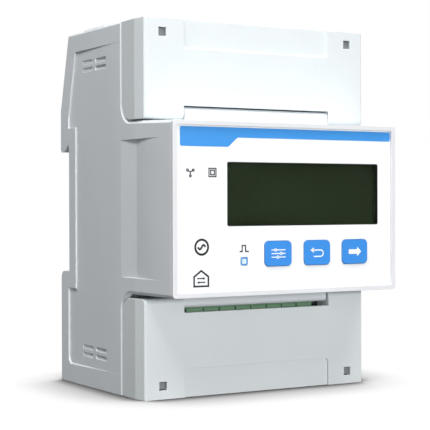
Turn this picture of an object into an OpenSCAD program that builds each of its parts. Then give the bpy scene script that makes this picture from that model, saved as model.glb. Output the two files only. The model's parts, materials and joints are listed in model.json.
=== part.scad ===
// Three-phase smart electric meter for a 35 mm rail, four 18 mm modules wide.
// Frame: X to the right, Y to the rear, Z up. The origin is the centre of the lower end's box.

/* [Body] */
// Width over the side walls, four rail modules
body_w = 72; // [71:0.5:74]
// Height of the case, lower end to upper end
body_h = 100; // [99:0.5:102]
// Depth from the face frame to the rear of the rail hook
body_d = 65.5; // [65:0.5:67]
// Thickness of the moulded walls
wall = 1.7; // [1.5:0.1:1.8]
// Height of the raised nose that carries the face
nose_h = 45; // [44:0.5:46]
// Amount each nose side leans in at the face
nose_taper = 0.6; // [0.2:0.1:0.8]
// Depth by which the rear end of each side panel is sunk
panel_sink = 0.6; // [0.2:0.05:0.7]
// Chamfer along the edges that meet the terminal covers
edge_chamfer = 0.75; // [0.2:0.05:0.8]
// Amount by which the upper edge of each nose side rises towards the rear
nose_rise = 0.8; // [0:0.1:0.8]
// Chamfer along the upper end of the side walls
end_chamfer = 0.4; // [0.1:0.05:0.5]

/* [Rail seat] */
// Distance from the hook's rear to the seat that rests on the rail
seat_depth = 5.55; // [5.3:0.05:6]
// Height of the seat's lower edge
seat_z0 = 31.9; // [31.5:0.1:32.2]
// Height of the seat's upper edge, below the hook
seat_z1 = 66.4; // [66.2:0.1:66.8]
// Height of the hook above the seat
hook_h = 11.9; // [11:0.1:13]
// Distance the latch slides down to let go of the rail
latch_travel = 4.5; // [3:0.5:5]

/* [Terminal covers] */
// Distance from the face frame back to the covers' front
cover_set_back = 14.95; // [14.5:0.05:15.5]
// Depth of a cover from its front to the case
cover_d = 11.8; // [11:0.1:12.5]
// Gap between a closed cover and the nose
cover_gap = 1.1; // [0.9:0.1:1.3]
// Thickness of the covers' walls
cover_t = 1.6; // [1.4:0.1:1.7]
// Half width of the hinge barrel between a cover's two ears
barrel_hw = 23.3; // [22:0.1:24]
// Side of the square seal holes
seal_hole = 2.3; // [2:0.1:2.6]
// Amount by which a cover's sides lean in at its front
cover_taper = 0.6; // [0.2:0.1:0.7]
// Amount by which a cover's sides are set in where they meet the case
cover_inset = 0.2; // [0.1:0.05:0.3]
// Depth by which the knock-out panel is sunk
knock_out_d = 0.7; // [0.3:0.1:0.8]

/* [Face] */
// Width of the frame round the face
frame_w = 1.2; // [1:0.1:1.5]
// Depth of the printed face below its frame
face_sink = 0.6; // [0.4:0.1:0.8]
// Width of the display window
window_w = 48.8; // [44:0.1:50]
// Height of the display window
window_h = 16.6; // [14:0.1:17]
// Width of a button
button_w = 8.4; // [8:0.1:9.4]
// Height of a button
button_h = 6.5; // [6:0.05:7.4]
// Distance between button centres
button_pitch = 12.55; // [12.2:0.05:13]
// Distance that a button travels
button_travel = 0.6; // [0.4:0.1:0.6]
// Distance from the face frame back to the button caps
button_sink = 0.3; // [0:0.1:0.5]

/* [Terminals] */
// Distance between the main terminals
pole_pitch = 16.5; // [16:0.1:16.6]
// Radius of a main wire entry
entry_r = 4.2; // [3.8:0.1:4.3]
// Distance between the small terminals
aux_pitch = 5.08; // [5:0.02:5.08]

/* [Hidden] */
$fn = 48;

slack = 0.01;
hw = body_w / 2;
inner_hw = hw - wall;
y_front = -body_d / 2;
y_rear = body_d / 2;
z_mid = body_h / 2;
nose_z0 = z_mid - nose_h / 2;
nose_z1 = z_mid + nose_h / 2;

// Planes across the depth, front to rear
bezel_t = 1.2;
y_seam = y_front + bezel_t;
y_face = y_front + face_sink;
film_t = 0.2;
y_cover = y_front + cover_set_back;
y_split = y_cover + cover_d;
y_taper = y_cover + 4.4;
y_seat = y_rear - seat_depth;
y_pocket = 14;

// Rear outline
lower_y = y_rear - 0.2;
top_rear_y = y_seat;
hook_z1 = seat_z1 + hook_h;
corner_r = 4.5;
groove_mouth = 3.5;
groove_h = 2.2;
base_gap = 0.02;

// Rear end of the upper edge of the nose sides, where the corner round starts
ledge_y = y_split - corner_r;
ledge_z = nose_z1 + nose_rise;

// Outline of the side panels, parallel to the rear outline
panel_top = body_h - 5.3;
panel_bottom = 5.6;
panel_rim = 4.7;
panel_y0 = -1;
panel_jog_z0 = 27.1;
panel_jog_z1 = 73.2;

// Louvres of the side panels
louvre_rows_y = [6.85, 15.35];
louvre_rows_z = [89.1, 91.2];
louvre_hy = 3.3;
louvre_hz = 0.55;
louvre_floor = 0.45;

// Finger scoop in each side of the nose
scoop_z0 = 31.8;
scoop_z1 = 68.3;
scoop_y0 = -26.3;
scoop_y1 = -5.5;
scoop_r = 122;

// Cover hinges: axis, barrel and pin; heights are given for the upper cover
upper_axis_y = y_cover + 1.6;
upper_axis_z = 75.4;
upper_barrel_r = 1.6;
upper_pin_r = 0.8;
upper_notch_z = 77.3;
lower_axis_y = y_cover + 2.2;
lower_axis_z = 75.1;
lower_barrel_r = 1.25;
lower_pin_r = 0.6;
lower_notch_z = 77.55;
pin_play = 0.05;
pin_len = 2.6;
ear_z = nose_z1 + cover_gap;
ear_nose_r = 1.5;
ear_wall = 1.6;
cover_play = 0.15;
knock_out_hx = 23.4;
knock_out_z = body_h - 7.6;

// Face layout
window_x = 5.35;
window_z = 53.8;
button_x = 9.15;
button_z = 38.2;
button_r = 1.2;
button_gap = 0.15;
led_x = -13.9;
led_z = 36.4;
led_w = 2;

// Terminals
poles = [for (i = [-1.5 : 1.5]) i * pole_pitch];
phase_poles = [poles[0], poles[1], poles[2]];
pole_z = 86.5;
pole_y = 5;
block_y = -5;
cage_hx = 5.2;
cage_y0 = -0.5;
cage_y1 = 10.5;
cage_z0 = 82;
cage_z1 = 91;
cage_t = 1.2;
bar_hx = 3.25;
bar_y0 = 7.7;
bar_y1 = 9.2;
bar_y = (bar_y0 + bar_y1) / 2;
slot_play = 0.45;
block_hx = inner_hw - 0.3;
entry_face_hx = 30.7;
entry_face_y = 9.8;
seal_x = 30;
seal_z = body_h - 3.5;
aux_count = 8;
aux_y0 = -13.6;
aux_y1 = -5.4;
aux_z0 = 17.4;
aux_z1 = 23.1;
aux_header_z1 = 26.9;
aux_pin_y = -9;

// Display stack, front to rear: panel of two glasses, light guide and frame
lcd_y0 = -30.1;
lcd_y1 = -29;
lcd_y2 = -27.9;
lcd_x0 = -21;
lcd_x1 = 31;
lcd_z0 = 43.8;
lcd_step_z = 45.2;
lcd_z1 = 64;
guide_y0 = -27.8;
guide_y1 = -26.2;
guide_x0 = -20.8;
guide_x1 = 30.8;
guide_leg = 2;
lcd_frame_y0 = -30.4;
lcd_frame_t = 1.2;
frame_x0 = -22.3;
frame_x1 = 32.3;
frame_z0 = 42.5;
frame_z1 = 65.3;
strip_x0 = -18;
strip_x1 = 28;

// Boards
display_y0 = -24.2;
display_y1 = -22.6;
display_board_hx = 32.5;
display_board_hz = 19.8;
metering_y0 = -8.6;
metering_y1 = -7;
metering_board_hx = 33.3;
metering_board_hz = 20.4;
switch_hx = 3;
switch_y0 = display_y0 - 3.5;
plunger_y0 = display_y0 - 4.5;
board_post_x = 30.5;
board_post_z = 17.6;
board_post_r = 1.9;
ring_r = 7.3;
ring_bore_r = 4;
ring_z0 = 44.85;
ring_h = 10;

// Case screws
screw_x = 29;
screw_z = 42;
screw_seat_y = 22.6;
post_end_y = 20.8;

// Latch
latch_hx = 9;
latch_y0 = 28.45;
latch_y1 = 30.8;
latch_top = 34.6;
latch_window_hx = 2.8;
spring_z0 = 10;
spring_z1 = 20;
spring_turns = 6;
spring_steps = 14;
spring_sides = 6;
spring_r = 0.85;
wire_r = 0.22;

function aux_x(i) = (i - (aux_count - 1) / 2) * aux_pitch;

// Extrudes a (Y, Z) outline along X
module along_x(x0, x1) {
    translate([x0, 0, 0]) rotate([90, 0, 90]) linear_extrude(x1 - x0) children();
}

// Extrudes an (X, Z) outline along Y
module along_y(y0, y1) {
    translate([0, y1, 0]) rotate([90, 0, 0]) linear_extrude(y1 - y0) children();
}

// Box between two corners
module block(low, high) {
    translate(low) cube(high - low);
}

// Cylinder along Y
module rod_y(x, z, r, y0, y1) {
    translate([x, y0, z]) rotate([-90, 0, 0]) cylinder(r = r, h = y1 - y0);
}

// Cylinder along X
module rod_x(y, z, r, x0, x1) {
    translate([x0, y, z]) rotate([0, 90, 0]) cylinder(r = r, h = x1 - x0);
}

// Rectangle with round corners, centred
module round_rect(w, h, r) {
    square([w - 2 * r, h], center = true);
    square([w, h - 2 * r], center = true);
    for (sx = [-1, 1], sy = [-1, 1]) {
        translate([sx * (w / 2 - r), sy * (h / 2 - r)]) circle(r);
    }
}

// Piece to take away to round a convex corner of an outline; sy and sz point outwards
module corner_cut(y, z, sy, sz, r) {
    difference() {
        translate([y - (sy > 0 ? r : 0), z - (sz > 0 ? r : 0)]) square(r + slack);
        translate([y - sy * r, z - sz * r]) circle(r);
    }
}

module both_sides() {
    children();
    mirror([1, 0, 0]) children();
}

// The lower end as the mirror image of the upper end
module lower_end() {
    translate([0, 0, body_h]) mirror([0, 0, 1]) children();
}

// Outline of the case in (Y, Z), without the covers
module case_outline() {
    difference() {
        union() {
            polygon([[y_split, 0], [lower_y, 0], [lower_y, seat_z0], [y_seat, seat_z0],
                [y_seat, seat_z1], [y_rear, seat_z1], [y_rear, hook_z1],
                [top_rear_y, body_h], [y_split, body_h]]);
            polygon([[y_seam, nose_z0], [y_split + 1, nose_z0], [y_split + 1, ledge_z],
                [ledge_y, ledge_z], [y_seam, nose_z1]]);
            for (z = [nose_z0 - corner_r, ledge_z]) {
                translate([ledge_y, z]) square(corner_r);
            }
        }
        for (z = [nose_z0 - corner_r, ledge_z + corner_r]) {
            translate([ledge_y, z]) circle(corner_r);
        }
        polygon([[y_seat, seat_z1], [y_seat + groove_mouth, seat_z1],
            [y_seat + 0.25, seat_z1 + groove_h]]);
        polygon([[y_seat, seat_z1 - 1], [y_seat + groove_mouth, seat_z1 - 1],
            [y_seat + groove_mouth, seat_z1], [y_seat, seat_z1]]);
        corner_cut(lower_y, seat_z0, 1, 1, 2);
        corner_cut(y_rear, seat_z1, 1, -1, 1);
    }
}

// Outline of the part of a side wall that belongs to the front housing
module panel_outline(grow) {
    rear_low = lower_y - panel_rim + grow;
    rear_seat = y_seat - panel_rim + 0.4 + grow;
    difference() {
        polygon([[y_front - 5, panel_bottom - grow], [rear_low, panel_bottom - grow],
            [rear_low, panel_jog_z0 + grow], [rear_seat, panel_jog_z0 + grow],
            [rear_seat, panel_jog_z1 - grow], [y_rear - 5 + grow, panel_jog_z1 - grow],
            [y_rear - 5 + grow, hook_z1 - 2], [23.1 + grow, panel_top + grow],
            [y_front - 5, panel_top + grow]]);
        corner_cut(rear_low, panel_bottom - grow, 1, -1, 1.5);
    }
}

// Chamfers along the edges that a cover closes against, on the right-hand side of the
// upper end; rise is the amount by which the nose's edge climbs towards the rear
module cover_edge_chamfers(rise) {
    side = edge_chamfer * sqrt(2);
    lean = atan(nose_taper / (y_taper - y_front));
    climb = atan(rise / (ledge_y - y_seam));
    taper_z = nose_z1 + rise * (y_taper - y_seam) / (ledge_y - y_seam);
    centre_z = nose_z1 + rise + corner_r;
    translate([hw, y_split, centre_z + body_h / 2]) rotate([0, 0, 45])
        cube([side, side, body_h], center = true);
    translate([hw, y_taper, taper_z]) rotate([climb, 0, 0]) rotate([0, 45, 0])
        translate([-side / 2, 0, -side / 2]) cube([side, (ledge_y - y_taper) / cos(climb), side]);
    translate([hw, y_taper, taper_z]) rotate([climb, 0, -lean]) rotate([0, 45, 0])
        translate([-side / 2, -body_d, -side / 2]) cube([side, body_d, side]);
    translate([hw, ledge_y, centre_z]) rotate([0, -90, 0])
        rotate_extrude($fn = 96)
        polygon([[corner_r - slack, -slack], [corner_r + edge_chamfer + slack, -slack],
            [corner_r - slack, edge_chamfer + slack]]);
}

module edge_chamfers() {
    both_sides() {
        cover_edge_chamfers(nose_rise);
        lower_end() cover_edge_chamfers(0);
    }
}

// Chamfers that run along the length of the side walls: at the upper end, and below the
// side panels, where each widens to the rear as the panel sinks
module wall_chamfers() {
    bar = 3;
    lean = atan(panel_sink / (y_rear - panel_y0));
    both_sides() {
        translate([hw, y_split - 1, body_h]) rotate([0, 45, 0])
            translate([-bar / 2, 0, -end_chamfer / sqrt(2)]) cube([bar, body_d, bar]);
        translate([hw, panel_y0, panel_bottom]) rotate([0, 0, lean]) rotate([0, 45, 0])
            translate([-bar / 2, -1, 0]) cube([bar, lower_y - panel_rim - panel_y0, bar]);
    }
}

// Plan of the front housing: sunk at the rear of the panels, leaning in at the nose
module housing_plan() {
    rear_hw = hw - panel_sink;
    face_hw = hw - nose_taper * (y_taper - y_seam) / (y_taper - y_front);
    polygon([[-rear_hw, y_rear], [rear_hw, y_rear], [hw, panel_y0], [hw, y_taper],
        [face_hw, y_seam], [-face_hw, y_seam], [-hw, y_taper], [-hw, panel_y0]]);
}

// Shallow blind louvres in a side panel
module louvres() {
    for (y = louvre_rows_y, z = louvre_rows_z) {
        louvre(y, z);
        lower_end() louvre(y, z);
    }
}

module louvre(y, z) {
    block([hw - louvre_floor, y - louvre_hy, z - louvre_hz], [hw + 1, y + louvre_hy, z + louvre_hz]);
}

// Hollow that gives fingers a grip on the nose: flat behind its crease, and curving out
// from the crease to run into the leaning side at its front
module finger_scoop() {
    lean = atan(nose_taper / (y_taper - y_front));
    centre_x = hw - nose_taper * (y_taper - scoop_y0) / (y_taper - y_front) - scoop_r * cos(lean);
    centre_y = scoop_y0 + scoop_r * sin(lean);
    crease_x = centre_x + sqrt(pow(scoop_r, 2) - pow(y_taper - centre_y, 2));
    translate([0, 0, scoop_z0]) linear_extrude(scoop_z1 - scoop_z0) {
        polygon([[hw + 1, scoop_y1], [hw, scoop_y1], [crease_x, y_taper - slack],
            [hw + 1, y_taper - slack]]);
        difference() {
            translate([crease_x - 0.5, scoop_y0]) square([2, y_taper - scoop_y0]);
            translate([centre_x, centre_y]) circle(scoop_r, $fn = 720);
        }
    }
}

// Hinge barrel on the nose, with a blind bore for the cover's pin at each end
module hinge_barrel(axis_y, axis_z, r, pin_r, front_y) {
    difference() {
        union() {
            rod_x(axis_y, axis_z, r, -barrel_hw, barrel_hw);
            block([-barrel_hw, front_y, nose_z1 - 0.5], [barrel_hw, axis_y + r, axis_z]);
        }
        both_sides() rod_x(axis_y, axis_z, pin_r + pin_play, barrel_hw - pin_len - 0.3, hw);
    }
}

module rear_base() {
    color([0.80, 0.81, 0.81]) difference() {
        union() {
            // side flanks round the panels
            both_sides() along_x(inner_hw, hw) difference() {
                case_outline();
                panel_outline(base_gap);
            }
            // rear, upper and lower walls
            along_x(-inner_hw - slack, inner_hw + slack) difference() {
                intersection() {
                    case_outline();
                    translate([y_split, 0]) square([body_d, body_h]);
                }
                polygon([[y_split - 1, wall], [lower_y - wall, wall],
                    [lower_y - wall, seat_z0 - wall - 1.5], [y_seat - wall, seat_z0 - wall - 1.5],
                    [y_seat - wall, hook_z1 + 3], [top_rear_y - wall, body_h - wall],
                    [y_split - 1, body_h - wall]]);
            }
            // housing of the rail latch
            block([-latch_hx - 2.3, 26.2, 1], [latch_hx + 2.3, lower_y - 1, seat_z0 - 1]);
            // bosses round the case screws
            intersection() {
                along_x(-hw, hw) case_outline();
                for (sx = [-1, 1], sz = [-1, 1]) {
                    rod_y(sx * screw_x, z_mid + sz * screw_z, 4.2, post_end_y + 0.1, y_rear);
                }
            }
            // stacking pads on the upper end
            both_sides() block([hw - 5.1, 5.4, body_h - 0.5], [hw - 0.6, 18.2, body_h + 0.6]);
        }
        // openings for the wire entries of the terminal blocks
        for (z = [body_h - wall - 1, -1]) {
            block([-entry_face_hx - 0.3, y_split - 1, z],
                [entry_face_hx + 0.3, entry_face_y + 0.2, z + wall + 2]);
        }
        // channel of the latch, open to the rear between its two lips
        block([-latch_hx - 0.3, latch_y0 - 0.25, -1], [latch_hx + 0.3, latch_y1 + 0.25, seat_z0 + 1]);
        block([-latch_hx + 2, latch_y0, -1], [latch_hx - 2, y_rear + 1, seat_z0 + 1]);
        // screw holes with their head recesses
        for (sx = [-1, 1], sz = [-1, 1]) {
            rod_y(sx * screw_x, z_mid + sz * screw_z, 1.45, post_end_y - 1, y_rear);
            rod_y(sx * screw_x, z_mid + sz * screw_z, 2.9, screw_seat_y, y_rear + 1);
        }
        edge_chamfers();
        wall_chamfers();
    }
    // lug that the latch spring pushes against
    color([0.80, 0.81, 0.81])
        block([-latch_window_hx + 0.3, latch_y0 - 1, spring_z0 - 1.8],
            [latch_window_hx - 0.3, latch_y1 - 0.1, spring_z0]);
}

// Everything of the housing that the two ends share, drawn for the upper end
module housing_end() {
    // nose wall, running back as the floor of the terminal pocket
    block([-inner_hw - slack, y_seam, nose_z1 - wall], [inner_hw + slack, y_pocket + wall, nose_z1]);
    // rear wall of the pocket
    block([-inner_hw - slack, y_pocket, nose_z1 - wall],
        [inner_hw + slack, y_pocket + wall, panel_top - 1]);
    block([-inner_hw + 0.3, y_pocket, panel_top - 2],
        [inner_hw - 0.3, y_pocket + wall, body_h - wall - 0.2]);
    for (sx = [-1, 1]) {
        rod_y(sx * screw_x, z_mid + screw_z, 3.2, y_pocket, post_end_y);
    }
}

module housing_end_cuts() {
    for (x = poles) {
        block([x - bar_hx - slot_play, bar_y0 - slot_play, nose_z1 - wall - 1],
            [x + bar_hx + slot_play, bar_y1 + slot_play, nose_z1 + 1]);
    }
    for (sx = [-1, 1]) {
        rod_y(sx * screw_x, z_mid + screw_z, 1.3, y_pocket + 1, post_end_y + 1);
        // windows for the hooks of the face frame
        block([sx * 17 - 3.2, -28, nose_z1 - wall - 1], [sx * 17 + 3.2, -25.4, nose_z1 + 1]);
    }
}

module front_housing() {
    color([0.82, 0.83, 0.83]) difference() {
        union() {
            intersection() {
                both_sides() along_x(inner_hw, hw) intersection() {
                    case_outline();
                    panel_outline(0);
                }
                linear_extrude(body_h) housing_plan();
            }
            intersection() {
                union() {
                    housing_end();
                    lower_end() housing_end();
                }
                linear_extrude(body_h) housing_plan();
            }
            hinge_barrel(upper_axis_y, upper_axis_z, upper_barrel_r, upper_pin_r, y_cover);
            lower_end() hinge_barrel(lower_axis_y, lower_axis_z, lower_barrel_r, lower_pin_r,
                lower_axis_y - lower_barrel_r);
            // ledges behind the metering board
            both_sides() block([32, metering_y1 + 0.1, 31], [inner_hw + slack, -5.6, 69]);
        }
        housing_end_cuts();
        lower_end() housing_end_cuts();
        both_sides() {
            louvres();
            finger_scoop();
        }
        for (i = [0 : aux_count - 1]) {
            block([aux_x(i) - 0.8, aux_pin_y - 0.8, nose_z0 - 1],
                [aux_x(i) + 0.8, aux_pin_y + 0.8, nose_z0 + wall + 1]);
        }
        edge_chamfers();
    }
}

// Opening in the face for one button
module button_holes(grow) {
    for (i = [-1 : 1]) {
        translate([button_x + i * button_pitch, button_z])
            round_rect(button_w + 2 * grow, button_h + 2 * grow, button_r + grow);
    }
}

module front_bezel() {
    face_hw = hw - nose_taper;
    plate_back = y_seam + 1;
    hook_root = nose_z1 - wall - 0.15;
    color([0.93, 0.94, 0.94]) difference() {
        union() {
            along_y(y_front, y_seam - 0.05) translate([0, z_mid]) round_rect(2 * face_hw, nose_h, 0.8);
            along_y(y_front + 0.6, plate_back) translate([0, z_mid])
                round_rect(2 * (inner_hw - nose_taper - 0.15), nose_h - 2 * wall - 0.3, 0.8);
            for (sx = [-1, 1], sz = [-1, 1]) {
                rod_y(sx * board_post_x, z_mid + sz * board_post_z, board_post_r,
                    plate_back - 0.1, display_y0);
            }
            for (sx = [-1, 1]) {
                bezel_hook(sx * 17, plate_back, hook_root);
                lower_end() bezel_hook(sx * 17, plate_back, hook_root);
            }
        }
        // recess for the printed film
        along_y(y_front - 1, y_face + film_t) translate([0, z_mid])
            round_rect(2 * (face_hw - frame_w), nose_h - 2 * frame_w, 0.6);
        along_y(y_front - 1, plate_back + 1) {
            translate([window_x, window_z]) round_rect(window_w, window_h, 0.5);
            button_holes(button_gap);
            translate([led_x, led_z]) round_rect(led_w + 0.3, led_w + 0.3, 0.5);
        }
        for (sx = [-1, 1], sz = [-1, 1]) {
            rod_y(sx * board_post_x, z_mid + sz * board_post_z, 0.85, -29, display_y0 + 1);
        }
    }
}

// Springy hook that snaps into a window of the nose wall
module bezel_hook(x, y0, root_z) {
    block([x - 2.8, y0 - 0.1, root_z - 1.2], [x + 2.8, -25.2, root_z]);
    block([x - 2.8, -27.6, root_z - 0.1], [x + 2.8, -25.8, nose_z1 - 0.6]);
}

module face_overlay() {
    face_hw = hw - nose_taper;
    color([0.95, 0.96, 0.97]) along_y(y_face, y_face + film_t) difference() {
        translate([0, z_mid])
            round_rect(2 * (face_hw - frame_w) - 0.1, nose_h - 2 * frame_w - 0.1, 0.55);
        translate([window_x, window_z]) round_rect(window_w, window_h, 0.5);
        button_holes(button_gap);
        translate([led_x, led_z]) round_rect(led_w + 0.3, led_w + 0.3, 0.5);
    }
}

module lcd_window() {
    color([0.17, 0.19, 0.16, 0.6]) along_y(y_face, y_face + 1.3)
        translate([window_x, window_z]) round_rect(window_w - 0.1, window_h - 0.1, 0.45);
}

module lcd_panel() {
    color([0.30, 0.34, 0.28]) {
        block([lcd_x0, lcd_y0, lcd_z0], [lcd_x1, lcd_y1, lcd_z1]);
        block([lcd_x0, lcd_y1, lcd_step_z], [lcd_x1, lcd_y2, lcd_z1]);
    }
}

module lcd_backlight() {
    color([0.90, 0.92, 0.88]) {
        block([guide_x0, guide_y0, 46], [guide_x1, guide_y1, 61.8]);
        for (x = [guide_x0, guide_x1 - guide_leg]) {
            block([x, guide_y1, 52], [x + guide_leg, display_y0, 56]);
        }
    }
}

module lcd_frame() {
    color([0.88, 0.89, 0.89]) difference() {
        block([frame_x0, lcd_frame_y0, frame_z0], [frame_x1, display_y0, frame_z1]);
        block([frame_x0 + lcd_frame_t, lcd_frame_y0 - 1, frame_z0 + lcd_frame_t],
            [frame_x1 - lcd_frame_t, display_y0 + 1, frame_z1 - lcd_frame_t]);
    }
}

module zebra_strips() {
    color([0.55, 0.45, 0.5]) {
        block([strip_x0, lcd_y1, 44], [strip_x1, display_y0, 45.1]);
        block([strip_x0, lcd_y2, 62.2], [strip_x1, display_y0, 63.8]);
    }
}

module display_board() {
    color([0.10, 0.38, 0.22]) difference() {
        block([-display_board_hx, display_y0, z_mid - display_board_hz],
            [display_board_hx, display_y1, z_mid + display_board_hz]);
        for (sx = [-1, 1], sz = [-1, 1]) {
            rod_y(sx * board_post_x, z_mid + sz * board_post_z, 1, display_y0 - 1, display_y1 + 1);
        }
    }
}

module display_screws() {
    color([0.75, 0.76, 0.78]) for (sx = [-1, 1], sz = [-1, 1]) {
        x = sx * board_post_x;
        z = z_mid + sz * board_post_z;
        difference() {
            union() {
                rod_y(x, z, 1.6, display_y1, display_y1 + 1.2);
                rod_y(x, z, 0.8, -28.2, display_y1 + slack);
            }
            block([x - 1, display_y1 + 0.7, z - 0.2], [x + 1, display_y1 + 2, z + 0.2]);
            block([x - 0.2, display_y1 + 0.7, z - 1], [x + 0.2, display_y1 + 2, z + 1]);
        }
    }
}

module tact_switches() {
    for (i = [-1 : 1]) {
        x = button_x + i * button_pitch;
        color([0.13, 0.13, 0.14]) difference() {
            block([x - switch_hx, switch_y0, button_z - switch_hx],
                [x + switch_hx, display_y0, button_z + switch_hx]);
            rod_y(x, button_z, 1.7, switch_y0 - 1, display_y0 - 1.2);
        }
    }
}

// Button cap: i is -1, 0 or 1 from left to right
module button(i) {
    x = button_x + i * button_pitch;
    color([0.26, 0.58, 0.94]) {
        along_y(y_front + button_sink, y_seam + 1.2)
            translate([x, button_z]) round_rect(button_w, button_h, button_r);
        along_y(y_seam + 1.15, y_seam + 2.1) translate([x, button_z])
            round_rect(button_w + 1.6, button_h + 1, button_r);
        rod_y(x, button_z, 1.8, y_seam + 2, plunger_y0);
    }
}

module set_button() {
    button(-1);
}

module escape_button() {
    button(0);
}

module next_button() {
    button(1);
}

// Plunger of the switch behind a button
module plunger(i) {
    color([0.85, 0.84, 0.80])
        rod_y(button_x + i * button_pitch, button_z, 1.62, plunger_y0, display_y0 - 2);
}

module set_plunger() {
    plunger(-1);
}

module escape_plunger() {
    plunger(0);
}

module next_plunger() {
    plunger(1);
}

module pulse_light_pipe() {
    color([0.85, 0.93, 0.97]) {
        along_y(y_face, -25.4) translate([led_x, led_z]) round_rect(led_w, led_w, 0.4);
        along_y(y_seam + 1.1, y_seam + 1.8) translate([led_x, led_z]) round_rect(3.4, 3.4, 0.5);
    }
}

module pulse_led() {
    color([0.95, 0.93, 0.85]) {
        block([led_x - 0.8, display_y0 - 0.6, led_z - 0.8], [led_x + 0.8, display_y0, led_z + 0.8]);
        block([led_x - 0.6, display_y0 - 1, led_z - 0.6], [led_x + 0.6, display_y0 - 0.5, led_z + 0.6]);
    }
}

module header_pins() {
    color([0.12, 0.12, 0.13])
        block([-31.5, display_y1, 37.3], [-26.5, display_y1 + 2.5, 62.7]);
    color([0.86, 0.72, 0.35]) for (x = [-30.27, -27.73], i = [0 : 9]) {
        z = z_mid + (i - 4.5) * 2.54;
        block([x - 0.32, display_y1 + 2.4, z - 0.32], [x + 0.32, -11, z + 0.32]);
    }
}

module header_socket() {
    color([0.12, 0.12, 0.13]) difference() {
        block([-31.5, -17.5, 37.3], [-26.5, metering_y0, 62.7]);
        for (x = [-30.27, -27.73]) {
            block([x - 0.6, -18, 38], [x + 0.6, -10, 62]);
        }
    }
}

module metering_board() {
    color([0.10, 0.36, 0.24]) block([-metering_board_hx, metering_y0, z_mid - metering_board_hz],
        [metering_board_hx, metering_y1, z_mid + metering_board_hz]);
}

module power_transformer() {
    color([0.16, 0.15, 0.15]) difference() {
        block([6, -20, 53], [22, -9.6, 67]);
        block([5, -17.5, 56], [9, -9, 64]);
        block([19, -17.5, 56], [23, -9, 64]);
    }
    color([0.85, 0.72, 0.25]) {
        block([8, metering_y0 - 1, 54], [20, metering_y0, 66]);
        block([6.6, -17.2, 56.4], [9, -9.6, 63.6]);
        block([19, -17.2, 56.4], [21.4, -9.6, 63.6]);
    }
}

module filter_capacitors() {
    color([0.14, 0.16, 0.24]) for (z = [54.5, 64.5]) {
        difference() {
            rod_y(-19, z, 4.2, -20.6, metering_y0);
            rod_y(-19, z, 3.3, -21, -20.3);
        }
    }
}

module surge_varistors() {
    color([0.10, 0.35, 0.62]) for (i = [0 : 2]) {
        x = -10 + i * 5.4;
        translate([x, -14.2, 61]) rotate([0, 90, 0]) cylinder(r = 4.4, h = 3.4);
        block([x + 0.9, -11, 58.7], [x + 2.5, metering_y0, 59.5]);
        block([x + 0.9, -11, 62.5], [x + 2.5, metering_y0, 63.3]);
    }
}

module backup_battery() {
    color([0.78, 0.79, 0.80]) {
        rod_y(27.6, 60, 5, -12.6, -9.2);
        rod_y(27.6, 60, 4.2, -13, -12.5);
        rod_y(27.6, 60, 4.4, -9.3, metering_y0);
    }
}

// Flat chip with legs on two sides
module chip(x, z, w, h, t, legs) {
    block([x - w / 2, metering_y0 - t, z - h / 2], [x + w / 2, metering_y0 - 0.1, z + h / 2]);
    pitch = h / legs;
    for (i = [0 : legs - 1], sx = [-1, 1]) {
        leg_z = z + (i - (legs - 1) / 2) * pitch;
        leg_x = x + sx * (w / 2 + 0.4);
        block([leg_x - 0.5, metering_y0 - 0.6, leg_z - pitch * 0.25],
            [leg_x + 0.5, metering_y0, leg_z + pitch * 0.25]);
    }
}

module metering_chip() {
    color([0.11, 0.11, 0.12]) chip(-12, 41.5, 8, 10, 1.7, 12);
}

module processor_chip() {
    color([0.10, 0.10, 0.11]) chip(6, 41.5, 11, 11, 1.5, 16);
}

module optocouplers() {
    color([0.92, 0.92, 0.90]) for (z = [36, 42, 48]) {
        chip(24, z, 6.4, 4.6, 3.2, 2);
    }
}

module current_transformers() {
    color([0.12, 0.20, 0.45]) for (x = phase_poles) {
        difference() {
            union() {
                translate([x, bar_y, ring_z0]) cylinder(r = ring_r, h = ring_h);
                block([x - 3.2, bar_y - ring_r - 1, ring_z0 + 2.5], [x + 3.2, bar_y - 5, ring_z0 + 7.5]);
            }
            translate([x, bar_y, ring_z0 - 1]) cylinder(r = ring_bore_r, h = ring_h + 2);
        }
    }
}

module transformer_holder() {
    shelf_z = ring_z0 - 0.05;
    color([0.25, 0.26, 0.27]) difference() {
        union() {
            block([-33, 1, shelf_z - 1.6], [17, 17.6, shelf_z]);
            block([-33, 16.1, shelf_z - 1.6], [17, 17.6, ring_z0 + ring_h + 1.5]);
            for (x = [-26, 10]) {
                rod_y(x, z_mid, 2.5, 17, y_seat - wall);
            }
        }
        for (x = poles) {
            block([x - bar_hx - slot_play, bar_y0 - slot_play, shelf_z - 3],
                [x + bar_hx + slot_play, bar_y1 + slot_play, shelf_z + 1]);
        }
    }
}

module transformer_leads() {
    color([0.75, 0.15, 0.12]) for (x = phase_poles, dx = [-1.6, 1.6]) {
        rod_y(x + dx, ring_z0 + ring_h / 2, 0.5, metering_y1, bar_y - ring_r - 1);
    }
}

module voltage_taps() {
    color([0.82, 0.66, 0.30]) for (x = poles) {
        rod_y(x, 65, 0.7, metering_y1, bar_y0);
        rod_y(x, 65, 1.3, metering_y1, metering_y1 + 1.5);
    }
}

module busbar(x) {
    block([x - bar_hx, bar_y0, body_h - cage_z1 + 1.5], [x + bar_hx, bar_y1, cage_z1 - 1.5]);
}

module phase_busbars() {
    color([0.72, 0.42, 0.25]) for (x = phase_poles) {
        busbar(x);
    }
}

module neutral_busbar() {
    color([0.72, 0.42, 0.25]) busbar(poles[3]);
}

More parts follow.
